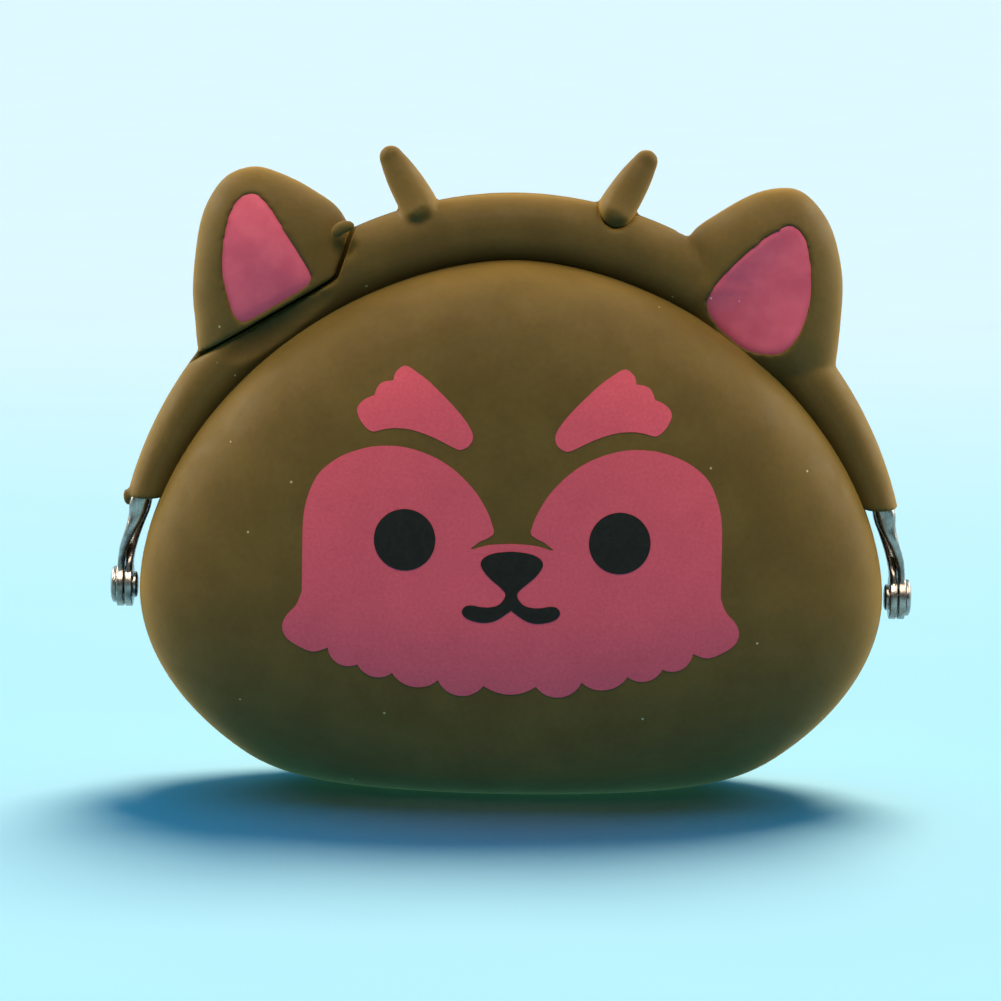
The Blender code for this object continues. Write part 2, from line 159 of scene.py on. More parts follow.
class SteelSizes(bpy.types.PropertyGroup):
    """The two sprung bows and the rivets that hinge them."""

    strip: length("Strip", "Thickness of the bow's steel strip", 0.7)
    strip_width: length("Strip width", "From front to back inside the sleeve", 3)
    eye_strip: length("Eye thickness", "Thickness of the flattened eye", 1)
    play: length("Play", "Between the eyes and the rivet's head and tail", 0.15)
    eye_radius: length("Eye radius", "Of the round hinge eye", 3)
    eye_edge: length("Eye edge", "Rounding of the hinge eye's edges", 0.18)
    head: length("Rivet head", "Thickness of the rivet's head", 0.7)
    head_radius: length("Rivet head radius", "Of the rivet's rounded head", 2.5)
    tail: length("Rivet tail", "Thickness of the rivet's tail", 0.5)
    tail_radius: length("Rivet tail radius", "Of the rivet's tail", 1.8)
    shank_radius: length("Rivet shank radius", "Of the pin through the eyes", 1)


class FaceSizes(bpy.types.PropertyGroup):
    """The face printed on the front."""

    eye_half_span: length("Eye half span", "From the middle of the face to each eye", 14.3)
    eye_height: length("Eye height", "Height of the eyes above the base", 36.8)
    eye_radius: length("Eye radius", "Of the round printed eyes", 4.1)
    ink: length("Ink", "Thickness of one layer of silicone ink", 0.08)


class FingerSizes(bpy.types.PropertyGroup):
    """The two fingers that snap past each other."""

    foot_side: length("Foot side", "From the middle to the finger's foot", 13.4)
    foot_rise: length("Foot rise", "From the hinge axis up to the middle of the finger's foot", 52.8)
    length: length("Length", "From the middle of the foot to the middle of the round tip", 7.6)
    lean: slant("Lean", "Of each finger away from the middle", 31)
    foot_radius: length("Foot radius", "Half the finger's width at its foot", 2.5)
    foot_proud: length("Foot proud", "How far the finger's foot stands out from the sleeve's face", 0.15)
    tip_radius: length("Tip radius", "Of the round tip", 1.65)
    slot_gap: length("Slot gap", "Round a finger in the other half's sleeve, below 0 for a squeeze", -0.08)


class StageSettings(bpy.types.PropertyGroup):
    """Camera, lamps and floor."""

    distance: length("Camera distance", "From the camera to the point that it looks at", 600)
    aim_side: length("Aim to the side", "Along X, of the point that the camera looks at", -1.65)
    aim_height: length("Aim height", "Height of the point that the camera looks at", 39.5)
    elevation: slant("Elevation", "How far the camera looks down", 8)
    roll: slant("Roll", "How far the camera is turned about its own view", 1)
    frame_width: length("Frame width", "What the picture spans at the purse", 137.4)
    paper_size: length("Paper size", "Side of the square sheet that the purse stands on", 12000)
    # Painted light: the paper is one even sheet, drawn dimmer in front and brighter far behind in place of
    # the light's fall-off.
    paper_near_painted_dim: colour("Paper near", "Colour of the paper in front", "#C8FDFF")
    paper_far_painted_bright: colour("Paper far", "Colour of the paper far behind", "#EDFFFF")
    fade_start: length("Fade start", "Along Y, where the paper's colour starts to change", -100)
    fade_end: length("Fade end", "Along Y, where the paper has its far colour", 800)
    backdrop: colour("Backdrop", "Colour of what lies beyond the paper", "#D9FBFE")
    back: number("Back light", "Strength of the lamp behind, for the paper alone", 3.75)
    back_tint: colour("Back tint", "Colour of the lamp behind", "#EFDECF")
    fill: number("Fill light", "Strength of the wide blue lamp that tints the shade on the paper", 3.0)
    fill_tint: colour("Fill tint", "Colour of the wide blue lamp", "#2A9ED8")
    front: number("Front light", "Strength of the lamp above the camera", 3.4)
    front_tint: colour("Front tint", "Colour of the lamp above the camera", "#FFF3E0")
    side: number("Side light", "Strength of each lamp beside the purse", 4.7)
    side_tint: colour("Side tint", "Colour of the lamps beside the purse", "#FFF4E4")
    bounce: number("Bounce", "Strength of the light that the paper throws back", 0.95)
    bounce_tint: colour("Bounce tint", "Colour of the light that the paper throws back", "#68CDFF")
    surround: number("Surround", "Strength of the light from all round", 0.03)
    surround_tint: colour("Surround tint", "Colour of the light from all round", "#A8E0FF")
    front_dim: number("Front dim", "How bright reflections show the room in front of the purse", 0.15)


# The settings of each group, as the panel's user has them now.
def pouch():
    return bpy.context.scene.purse_pouch


def rim():
    return bpy.context.scene.purse_rim


def ears():
    return bpy.context.scene.purse_ears


def fingers():
    return bpy.context.scene.purse_fingers


def steel():
    return bpy.context.scene.purse_steel


def face():
    return bpy.context.scene.purse_face


def only(item):
    """Selects one object alone and makes it the active one."""
    bpy.ops.object.select_all(action="DESELECT")
    item.select_set(True)
    bpy.context.view_layer.objects.active = item


def apply_modifier(item, kind, **settings):
    """Adds a modifier with its settings and applies it."""
    modifier = item.modifiers.new(kind.title(), kind)
    for name, value in settings.items():
        setattr(modifier, name, value)
    only(item)
    bpy.ops.object.modifier_apply(modifier=modifier.name)


def combine(item, other, operation):
    """Applies an exact Boolean with another object, which is then removed."""
    apply_modifier(item, "BOOLEAN", operation=operation, solver="EXACT", object=other)
    bpy.data.objects.remove(other)


def edit(item, *steps):
    """Runs edit mode operators on all of an object's mesh; a step is an operator and its settings."""
    only(item)
    bpy.ops.object.mode_set(mode="EDIT")
    bpy.ops.mesh.select_all(action="SELECT")
    for operator, settings in steps:
        operator(**settings)
    bpy.ops.object.mode_set(mode="OBJECT")


def face_outwards(item):
    edit(item, (bpy.ops.mesh.remove_doubles, {"threshold": TINY}),
         (bpy.ops.mesh.normals_make_consistent, {"inside": False}))


def finish(item, material, crease=None):
    """Shades a piece smooth, up to creases of some degrees, and gives it one material."""
    item.data.shade_smooth()
    if crease:
        item.data.set_sharp_from_angle(angle=math.radians(crease))
    item.data.materials.clear()
    item.data.materials.append(material)


def shaped_ball(name, segments, rings, place):
    """A UV sphere with its points moved: place takes the share from pole to pole and the turn round."""
    bpy.ops.object.select_all(action="DESELECT")
    bpy.ops.mesh.primitive_uv_sphere_add(segments=segments, ring_count=rings, radius=1)
    item = bpy.context.object
    item.name = name
    for vertex in item.data.vertices:
        x, y, z = vertex.co
        share = math.acos(max(-1.0, min(1.0, z))) / math.pi
        vertex.co = place(share, math.atan2(y, x) % (2 * math.pi))
    face_outwards(item)
    return item


def block(name, outline, near, far):
    """A closed block: an outline in the XZ plane, extruded along Y from near to far."""
    bpy.ops.object.select_all(action="DESELECT")
    bpy.ops.mesh.primitive_circle_add(vertices=len(outline), radius=1, fill_type="NGON")
    item = bpy.context.object
    item.name = name
    for vertex, (x, z) in zip(item.data.vertices, outline):
        vertex.co = (x, near, z)
    edit(item, (bpy.ops.mesh.extrude_region_move, {"TRANSFORM_OT_translate": {"value": (0, far - near, 0)}}))
    face_outwards(item)
    return item


def on_side(own, outline):
    """An outline drawn on the right, as it is, +1, or turned over to the left, -1."""
    return [Vector((own * p.x, p.y)) for p in outline]


def centre_of(outline):
    return sum(outline, Vector((0, 0))) / len(outline)


def spline(before, here, after, later, t):
    """A smooth curve through four values, between the middle two, at t from 0 to 1."""
    pull = (after - before) * t + (2 * before - 5 * here + 4 * after - later) * t ** 2
    return here + (pull + (3 * here - before - 3 * after + later) * t ** 3) / 2


def smooth_loop(points, count):
    """A closed curve through points, as count points that are evenly shared out between them."""
    curve = []
    for k in range(count):
        step, t = divmod(k * len(points) / count, 1)
        curve.append(spline(*(points[(int(step) + n) % len(points)] for n in (-1, 0, 1, 2)), t))
    return curve


def curve_value(values, t):
    """A smooth curve through values, at t from 0 to their number less 1."""
    step = min(int(t), len(values) - 2)
    return spline(*(values[min(max(step + n, 0), len(values) - 1)] for n in (-1, 0, 1, 2)), t - step)


def through(points, count):
    """A smooth open curve through points, count points to each stretch, without the last point."""
    return [curve_value(points, k / count) for k in range((len(points) - 1) * count)]


def millimetres(*pairs):
    return [Vector(pair) * MM for pair in pairs]


def super_point(turn, power):
    """A point of a unit super-ellipse in the direction of turn."""
    across, up = math.cos(turn), math.sin(turn)
    size = (abs(across) ** power + abs(up) ** power) ** (-1 / power)
    return across * size, up * size


def settle(height, soft):
    """A height that never goes below zero, with a soft bend of the given size."""
    if height >= soft:
        return height
    return max(0.0, height + soft) ** 2 / (4 * soft)


def pouch_point(turn, round_turn, inset=0.0):
    """A point of the pouch: turn runs from its front to its rear, round_turn about its axis along Y."""
    sizes = pouch()
    rise = sizes.rise if math.sin(round_turn) >= 0 else HINGE_HEIGHT + sizes.base_cut
    outline_power = sizes.outline_power if math.sin(round_turn) >= 0 else sizes.under_power
    lift = 0.5 + 0.5 * math.sin(round_turn)
    power = sizes.belly_power + (sizes.shoulder_power - sizes.belly_power) * lift
    out, reach = super_point(turn, power)
    x, z = super_point(round_turn, outline_power)
    height = HINGE_HEIGHT + (rise - inset) * z * reach
    return Vector(((sizes.half_width - inset) * x * reach, -(sizes.half_depth - inset) * out,
                   settle(height, sizes.base_round)))


def half_pouch(name, side):
    """The outer skin of one half of the pouch, open at the parting plane. side is -1 for the front."""
    item = shaped_ball(name, 192, 120, lambda share, turn: pouch_point(share * math.pi, turn))
    plane = {"plane_co": (0, side * TOUCH_GAP / 6, 0), "plane_no": (0, side, 0), "clear_inner": True}
    edit(item, (bpy.ops.mesh.bisect, plane))
    return item


def bend_with(item):
    """Bakes a soft piece's transform into its mesh."""
    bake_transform(item)


class PURSE_OT_pouch(bpy.types.Operator):
    """Models the pouch as two thick skins that meet at the mould's parting line"""

    bl_idname = "purse.pouch"
    bl_label = "Pouch"

    def execute(self, context):
        for name, side in HALVES:
            item = half_pouch(name + "_pouch_skin", side)
            apply_modifier(item, "SOLIDIFY", thickness=pouch().wall, offset=-1, use_even_offset=True)
            face_outwards(item)
            finish(item, olive_silicone(), SOFT_CREASE)
            bend_with(item)
            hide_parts(name + "_belly", name + "_wall", "pouch_bowl")
        return {"FINISHED"}


def arch_point(width, rise, power, share_along):
    """A point of an arch over the hinge axis, from the rim's right end, 0, to its left end, 1."""
    start = math.asin((rim().end_rise / rise) ** (power / 2))
    angle = start + (math.pi - 2 * start) * share_along
    x = math.copysign(width * abs(math.cos(angle)) ** (2 / power), math.cos(angle))
    return Vector((x, rise * math.sin(angle) ** (2 / power)))


def rim_point(share_along, share_across, spread=0.0):
    """A point of the rim seen from the front, above the hinge axis: across 0 is at the pouch, 1 outside."""
    sizes = rim()
    bowl = pouch()
    inner = arch_point(bowl.half_width + TOUCH_GAP, bowl.rise + TOUCH_GAP, bowl.outline_power, share_along)
    outer = arch_point(bowl.half_width + sizes.side_width, bowl.rise + sizes.top_width, sizes.arch_power,
                       share_along)
    return inner.lerp(outer, share_across) + (outer - inner).normalized() * spread


def sleeve_body(name, side):
    """One half of the rim, flat on the parting plane and rounded on its own side."""
    sizes = rim()
    rings = 150
    face = TOUCH_GAP / 2

    def place(share, turn):
        ring = round(share * rings)
        along = min(max((ring - 1) / (rings - 2), 0), 1)
        if ring in (0, rings):
            across, out = 0.5, sizes.half_depth / 2
        elif turn <= math.pi:
            over, out = super_point(turn, sizes.power)
            across = 0.5 + 0.5 * over
            out = face + (sizes.half_depth - face) * max(out, 0)
        else:
            across, out = 0.5 + 0.5 * math.cos(turn), face
        x, z = rim_point(along, across, -sizes.merge * (1 - across))
        return x, side * out, HINGE_HEIGHT + z

    return shaped_ball(name, 48, rings, place)


EAR_SEAT_SHARES = ((0.3015, 0.42), (0.16, 0.84))
EAR_SHARES = {
    1: ((0.025, 0.475), (0.089, 0.60), (0.15, 0.729), (0.281, 0.812), (0.485, 0.906), (0.648, 0.936),
        (0.762, 0.918), (0.868, 0.837), (0.944, 0.723), (0.993, 0.543), (0.99, 0.355), (0.964, 0.146),
        (0.909, 0.042), (0.821, -0.013), (0.663, 0.03), (0.437, 0.116), (0.21, 0.277)),
    -1: ((0.02, 0.46), (0.139, 0.769), (0.325, 0.895), (0.536, 0.973), (0.664, 0.989), (0.796, 0.948),
         (0.885, 0.858), (0.939, 0.749), (0.968, 0.60), (0.981, 0.438), (0.966, 0.305), (0.942, 0.155),
         (0.86, 0.0), (0.55, 0.10), (0.24, 0.26)),
}
INLAY_SHARES = {
    1: ((0.697, 0.782), (0.632, 0.768), (0.539, 0.723), (0.424, 0.643), (0.309, 0.547), (0.245, 0.471),
        (0.237, 0.42), (0.263, 0.367), (0.34, 0.299), (0.448, 0.238), (0.579, 0.215), (0.662, 0.231),
        (0.742, 0.308), (0.79, 0.422), (0.803, 0.516), (0.79, 0.629), (0.763, 0.723)),
    -1: ((0.653, 0.878), (0.598, 0.865), (0.532, 0.805), (0.465, 0.718), (0.386, 0.623), (0.33, 0.554),
         (0.316, 0.513), (0.347, 0.478), (0.439, 0.431), (0.548, 0.378), (0.647, 0.331), (0.694, 0.322),
         (0.733, 0.346), (0.765, 0.416), (0.792, 0.503), (0.802, 0.591), (0.79, 0.696), (0.762, 0.793),
         (0.719, 0.855)),
}


EAR_STEPS = 96
INLAY_STEPS = 72


def ear_seat():
    """The two ends of an ear's seat on the other half's sleeve."""
    return [rim_point(*shares) + Vector((0, HINGE_HEIGHT)) for shares in EAR_SEAT_SHARES]


def ear_corner():
    """The lower inner corner of the box round an ear."""
    return Vector((ears().inner_side, HINGE_HEIGHT + ears().low_rise))


def ear_loop(shares, count):
    """A smooth outline through shares of the ear's box, on the right ear."""
    low = ear_corner()
    return smooth_loop([low + Vector((ears().width * x, ears().height * z)) for x, z in shares], count)


def ear_depths(side):
    """How far an ear reaches in front of and behind the parting plane."""
    own = rim().half_depth + ears().proud
    far = rim().half_depth + ears().overhang
    return (own, far) if side < 0 else (far, own)


def ear_bulge(scale, reach):
    """Distance of the ear's surface from the parting plane, where its outline is drawn in to scale."""
    power = ears().roundness
    return reach * (1 - min(scale, 1.0) ** power) ** (1 / power)


def ear_body(name, side, own):
    """An ear, rounded to the front and the back. side is its half, own is +1 or -1 in X."""
    front, back = ear_depths(side)
    outline = ear_loop(EAR_SHARES[own], EAR_STEPS)
    middle = centre_of(outline)

    def place(share, turn):
        out, scale = super_point(share * math.pi, ears().roundness)
        edge = outline[round(turn / (2 * math.pi) * EAR_STEPS) % EAR_STEPS]
        point = middle + (edge - middle) * max(scale, 0)
        return own * point.x, -out * (front if out > 0 else back), point.y

    return shaped_ball(name, EAR_STEPS, 48, place)


def seat_line(grow):
    """The cut-out for an ear, grow away from it: the top and the foot of its wall, and its outer end."""
    inner, outer = ear_seat()
    along = (outer - inner).normalized()
    foot = inner + Vector((along.y, -along.x)) * grow - Vector((grow, 0))
    wall_top = foot + Vector((-ears().wall_lean, 1)) * 2 * ears().height
    return wall_top, foot, foot + along * ears().width * 1.5


def trim_ear(item, side, own, spare=0.0):
    """Takes all that lies under or inside an ear's seat in the other half's sleeve, and spare more."""
    wall_top, foot, end = seat_line(-ears().seat_gap / 2 - spare)
    near, far = -side * TOUCH_GAP / 2, side * pouch().half_depth
    low, inside = HINGE_HEIGHT, -ears().width
    under = [foot, end, Vector((end.x, low)), Vector((foot.x, low))]
    beside = [Vector((inside, low)), Vector((foot.x, low)), foot, wall_top, Vector((inside, wall_top.y))]
    for outline in (under, beside):
        combine(item, block("under the seat", on_side(own, outline), near, far), "DIFFERENCE")


def cut_pocket(item, side, own):
    """Cuts the room for the other half's ear from a sleeve."""
    wall_top, foot, end = seat_line(ears().seat_gap / 2)
    outline = [foot, end, Vector((end.x, wall_top.y)), wall_top]
    combine(item, block("pocket", on_side(own, outline), 0, side * pouch().half_depth), "DIFFERENCE")


GROOVE_SHARES = ((0.0, 1.0), (0.35, 1.0), (0.7, 1.0), (1.0, 0.9))  # along the seat, and of its drop below it
GROOVE_DROP_SHARE = 0.25  # of the sleeve's width
GROOVE_RUN_SHARE = 0.35  # of the sleeve's width, past the seat's inner end


def groove_below_seat(item, side, own):
    """Hollows the sleeve's face below the other half's ear, which then shades it."""
    inner, outer = ear_seat()
    along = (outer - inner).normalized()
    down = Vector((along.y, -along.x)) * rim().top_width * GROOVE_DROP_SHARE
    y = side * (rim().half_depth + ears().groove - ears().groove_depth)
    route = [inner.lerp(outer, place) + down * drop for place, drop in GROOVE_SHARES]
    route[0] -= along * rim().top_width * GROOVE_RUN_SHARE
    combine(item, bead("groove", on_side(own, route), y, ears().groove), "DIFFERENCE")


def bead(name, route, y, radius):
    """A round bead of silicone along a short route in the XZ plane."""
    last = len(route) - 1
    end_power = 0.4

    def place(share, turn):
        along = share * last
        centre = curve_value(route, along)
        ahead = curve_value(route, min(along + 0.1, last))
        way = (ahead - curve_value(route, max(along - 0.1, 0))).normalized()
        size = radius * math.sin(math.pi * share) ** end_power
        side = Vector((-way.y, way.x)) * size * math.cos(turn)
        return centre.x + side.x, y + size * math.sin(turn), centre.y + side.y

    return shaped_ball(name, 20, 6 * len(route), place)


WEAR = (  # operation, the bead's depth below the sleeve's face, its radius and its route, in millimetres
    ("DIFFERENCE", 0.5, 1.4, ((-22.0, 75.3), (-22.9, 74.5), (-24.0, 73.4))),
    ("UNION", 0.2, 0.95, ((-21.8, 77.2), (-23.3, 77.2), (-24.3, 76.5), (-24.4, 75.5))),
    ("UNION", 0.9, 0.65, ((-21.6, 73.6), (-22.3, 72.4), (-23.3, 71.2))),
    ("UNION", 2.75, 0.65, ((-52.9, 40.6), (-52.6, 39.4), (-52.3, 38.3))),
    ("UNION", 2.75, 0.65, ((50.9, 40.4), (50.7, 39.2), (50.6, 38.1))),
)


def wear_front(item):
    """Wears the front sleeve: a torn pit between two lips by the left ear, and flash at its lower ends."""
    for operation, depth, radius, route in WEAR:
        y = depth * MM - rim().half_depth
        combine(item, bead("wear", millimetres(*route), y, radius * MM), operation)


def finger_axis(own):
    """The middle of a finger's round foot and of its round tip."""
    sizes = fingers()
    foot = Vector((own * sizes.foot_side, 0, HINGE_HEIGHT + sizes.foot_rise))
    along = Vector((own * math.sin(sizes.lean), 0, math.cos(sizes.lean)))
    return foot, foot + along * sizes.length


def finger_body(name, own):
    """A round-ended finger, deep from front to back at its foot and round at its tip."""
    sizes = fingers()
    foot, tip = finger_axis(own)
    along = (tip - foot).normalized()
    depth = Vector((0, 1, 0))
    across = depth.cross(along)
    rings, cap = 60, 12
    foot_depth = rim().half_depth + sizes.foot_proud
    side_power, face_power = 2.3, 0.85

    def place(share, turn):
        ring = round(share * rings)
        if ring >= rings - cap:
            rise = math.pi / 2 * (ring - (rings - cap)) / cap
            centre = tip + along * sizes.tip_radius * math.sin(rise)
            wide = deep = sizes.tip_radius * math.cos(rise)
            over, out = math.cos(turn), math.sin(turn)
        else:
            rise = math.pi / 2 * min(ring / cap, 1)
            t = max(ring - cap, 0) / (rings - 2 * cap)
            centre = foot.lerp(tip, t) - along * sizes.foot_radius * math.cos(rise)
            wide = sizes.foot_radius + (sizes.tip_radius - sizes.foot_radius) * t ** side_power
            wide *= math.sin(rise)
            deep = foot_depth + (sizes.tip_radius - foot_depth) * t ** face_power
            deep *= math.sin(rise) ** 0.5
            over, out = super_point(turn, 3 - t)
        return centre + across * wide * over + depth * deep * out

    return shaped_ball(name, 40, rings, place)


def cut_slot(item, side, own):
    """Cuts the snug slot, open at the top, that lets the other half's finger swing out."""
    foot, tip = (Vector((p.x, p.z)) for p in finger_axis(own))
    along = (tip - foot).normalized()
    across = Vector((along.y, -along.x))
    radius = fingers().foot_radius + fingers().slot_gap
    steps = 16
    turns = [math.pi * k / steps for k in range(steps + 1)]
    bottom = [foot + across * radius * math.cos(t) - along * radius * math.sin(t) for t in turns]
    top = [foot + along * fingers().length + across * radius * way for way in (-1, 1)]
    combine(item, block("slot", bottom + top, 0, side * pouch().half_depth), "DIFFERENCE")


def edge_scale(outline, middle, point):
    """How far out a point lies between the middle of an outline, 0, and its edge, 1."""
    away = point - middle
    if away.length < TINY:
        return 0.0
    far = middle + away.normalized() * ears().height * 2
    for k, here in enumerate(outline):
        hit = intersect_line_line_2d(middle, far, outline[k - 1], here)
        if hit:
            return away.length / (hit - middle).length
    return 1.0


def inlay_shape(side, own):
    """The recess's outline, its middle and a function for the inlay's distance from the parting plane."""
    front = ear_depths(side)[0]
    sizes = ears()
    ear_outline = ear_loop(EAR_SHARES[own], EAR_STEPS)
    ear_middle = centre_of(ear_outline)
    outline = ear_loop(INLAY_SHARES[own], INLAY_STEPS)
    middle = centre_of(outline)
    seat_inner, seat_outer = ear_seat()
    along = (seat_outer - seat_inner).normalized()

    def ear_face(point):
        return ear_bulge(edge_scale(ear_outline, ear_middle, point), front)

    edge_faces = [ear_face(point) for point in outline]
    centre_face = sum(edge_faces) / len(edge_faces) + sizes.inlay_crowns[0 if own < 0 else 1]

    def surface(k, scale):
        point = middle + (outline[k] - middle) * scale
        above_seat = along.x * (point - seat_inner).y - along.y * (point - seat_inner).x
        fold = max(0.0, min(1.0, (sizes.fold_rise - above_seat) / sizes.fold_width)) if own < 0 else 0
        out = centre_face + (edge_faces[k] - centre_face) * scale ** 2 - sizes.inlay_step * (1 + 0.5 * fold)
        if scale > 1:
            out = min(out, ear_face(point) - 1.5 * sizes.inlay_step)
        return out

    return outline, middle, surface


def inlay_floor(side, own):
    """Distance of the inlay's flat back from the parting plane."""
    outline, _, surface = inlay_shape(side, own)
    lowest = min(surface(k, scale / 4) for k in range(len(outline)) for scale in range(5))
    return lowest - ears().inlay_depth


def cut_recess(item, side, own):
    """Cuts the recess that shows the inlay."""
    outline = on_side(own, inlay_shape(side, own)[0])
    far = 2 * ear_depths(side)[0]
    floor = inlay_floor(side, own) + TOUCH_GAP
    combine(item, block("recess", outline, -far, -floor), "DIFFERENCE")


class PURSE_OT_inlays(bpy.types.Operator):
    """Models the pink inlays of the ears"""

    bl_idname = "purse.inlays"
    bl_label = "Ear inlays"

    def execute(self, context):
        pink = pink_silicone()
        for name, side, own in (("right", -1, 1), ("left", 1, -1)):
            item = inlay_body(name + "_ear_inlay_skin", side, own)
            if own < 0:
                trim_ear(item, -side, own, TOUCH_GAP)
            finish(item, pink, SOFT_CREASE)
            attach(item, "front_half" if side < 0 else "rear_half")
            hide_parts(name + "_ear_inlay")
        return {"FINISHED"}


def inlay_body(name, side, own):
    """A pad, dished or crowned in front and flat behind, which reaches a little under the recess's edge."""
    outline, middle, surface = inlay_shape(side, own)
    floor = inlay_floor(side, own)
    edge_power = 9

    def place(share, turn):
        out, scale = super_point(share * math.pi, edge_power)
        k = round(turn / (2 * math.pi) * INLAY_STEPS) % INLAY_STEPS
        scale = max(scale, 0) * (1 + ears().inlay_hold / (outline[k] - middle).length)
        point = middle + (outline[k] - middle) * scale
        y = floor + (surface(k, scale) - floor) * (0.5 + 0.5 * out)
        return own * point.x, -y, point.y

    return shaped_ball(name, INLAY_STEPS, 56, place)


class PURSE_OT_sleeves(bpy.types.Operator):
    """Models the two soft sleeves of the rim, each with one ear and one finger moulded on"""

    bl_idname = "purse.sleeves"
    bl_label = "Rim sleeves, ears and fingers"

    def execute(self, context):
        for name, side, ear_at in (("front", -1, 1), ("rear", 1, -1)):
            item = sleeve_body(name + "_rim_skin", side)
            ear = ear_body("ear", side, ear_at)
            trim_ear(ear, -side, ear_at)
            finger = finger_body("finger", -ear_at)
            cut_pocket(item, side, -ear_at)
            groove_below_seat(item, side, -ear_at)
            cut_slot(item, side, ear_at)
            combine(item, ear, "UNION")
            combine(item, finger, "UNION")
            cut_recess(item, side, ear_at)
            if side < 0:
                wear_front(item)
            apply_modifier(item, "REMESH", mode="VOXEL", voxel_size=rim().voxel)
            apply_modifier(item, "SMOOTH", factor=0.5, iterations=8)
            finish(item, olive_silicone())
            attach(item, name + "_half")
            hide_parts(name + "_rim_sleeve")
        return {"FINISHED"}


# Height, flare, offset from the hinge axis, depth over the eye's radius, thickness over the strip's.
LEG_SHARES = (
    (0.00, 1.00, 0.00, 1.50, 1.4), (0.26, 0.97, 0.00, 1.40, 1.4), (0.46, 0.78, 0.62, 1.15, 1.8),
    (0.64, 0.46, 1.00, 1.13, 2.3), (0.82, 0.16, 1.00, 1.13, 3.3), (1.00, 0.00, 1.00, 1.13, 4.0),
)
ARCH_STEPS = 36
END_STEPS = 5


def hinge_half_span():
    """Half the distance over the two rivet heads."""
    return (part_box("hinge_rivet_right")[1].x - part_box("hinge_rivet_left")[0].x) / 2


def bow_stations(side, outermost):
    """Centre, way across, depth, width and thickness of the strip, from the right eye to the left."""
    sizes = steel()
    eye_x = hinge_half_span() - sizes.head - sizes.play - sizes.eye_strip / 2
    if not outermost:
        eye_x -= sizes.eye_strip + sizes.play
    rim_y = side * (rim().half_depth - TOUCH_GAP) / 2
    arch = []
    for k in range(ARCH_STEPS + 1):
        along = k / ARCH_STEPS
        across = (rim_point(along, 1) - rim_point(along, 0)).normalized()
        low = max(0.0, 1 - min(k, ARCH_STEPS - k) / END_STEPS) ** 1.5
        share = rim().bow_share + (rim().leg_share - rim().bow_share) * low
        thick = sizes.strip * (1 + (LEG_SHARES[-1][4] - 1) * low)
        arch.append((rim_point(along, share), across, rim_y, sizes.strip_width, thick))
    top = arch[0][0]
    leg = []
    for rise, flare, lead, width, thick in LEG_SHARES:
        place = Vector((top.x + (eye_x - top.x) * flare, top.y * rise))
        leg.append((place, Vector((1, 0)), rim_y * lead, sizes.eye_radius * width, sizes.strip * thick))
    other_leg = [(*on_side(-1, station[:2]), *station[2:]) for station in reversed(leg)]
    return leg + arch[1:-1] + other_leg


def strip_body(name, side, outermost):
    """The bow's strip, with its edges rounded by the rolling."""
    stations = bow_stations(side, outermost)
    centres, acrosses, depths, widths, thicknesses = zip(*stations)
    rings = 240
    section_power = 3.5

    def place(share, turn):
        ring = round(share * rings)
        along = min(max((ring - 1) / (rings - 2), 0), 1) * (len(stations) - 1)
        over, out = super_point(turn, section_power)
        if ring in (0, rings):
            over = out = 0
        half = curve_value(thicknesses, along) / 2
        point = curve_value(centres, along) + curve_value(acrosses, along).normalized() * half * over
        y = curve_value(depths, along) + curve_value(widths, along) / 2 * out
        return point.x, y, HINGE_HEIGHT + point.y

    return shaped_ball(name, 24, rings, place)


def turned(name, profile, segments=64):
    """A piece turned on the hinge axis: a profile of places along X and radii, from one end to the other."""
    rings = len(profile) + 1

    def place(share, turn):
        ring = round(share * rings)
        x, radius = profile[min(max(ring - 1, 0), len(profile) - 1)]
        if ring in (0, rings):
            radius = 0
        return x, radius * math.cos(turn), HINGE_HEIGHT + radius * math.sin(turn)

    return shaped_ball(name, segments, rings, place)


def quarter(steps):
    """The turns of a quarter circle, from 0 up."""
    return [math.pi / 2 * k / steps for k in range(steps + 1)]


def domed(end, rise, radius, flat_share, turns):
    """A rounded end's profile: rise is how far it rounds back from the end, and its middle stays flat."""
    return [(end - rise * (1 - math.cos(t)), radius * (flat_share + (1 - flat_share) * math.sin(t)))
            for t in turns]


def rounded_disc(low, high, radius, edge):
    """The profile of a disc between two places along X, with rounded edges."""
    rounding = [(edge * (1 - math.sin(t)), radius - edge * (1 - math.cos(t))) for t in quarter(6)]
    return [(low + x, r) for x, r in reversed(rounding)] + [(high - x, r) for x, r in rounding]


class PURSE_OT_frame(bpy.types.Operator):
    """Models the sprung steel bows, with their eyes, and gives the prongs the same plating"""

    bl_idname = "purse.frame"
    bl_label = "Steel bows"

    def execute(self, context):
        plating = nickel_plating()
        sizes = steel()
        for name, side in HALVES:
            bow = strip_body(name + "_bow_steel", side, side < 0)
            eye_x = bow_stations(side, side < 0)[0][0].x
            for end in (-1, 1):
                low, high = sorted(end * (eye_x + sizes.eye_strip / 2 * way) for way in (-1, 1))
                eye = turned("eye", rounded_disc(low, high, sizes.eye_radius, sizes.eye_edge))
                combine(bow, eye, "UNION")
                bore = sizes.shank_radius + TOUCH_GAP
                hole = turned("bore", [(low - sizes.strip, bore), (high + sizes.strip, bore)])
                combine(bow, hole, "DIFFERENCE")
            finish(bow, plating, SHARP_CREASE)
            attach(bow, name + "_half")
            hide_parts(name + "_bow")
            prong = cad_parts[name + "_prong"]
            prong.data.materials.clear()
            prong.data.materials.append(plating)
        return {"FINISHED"}


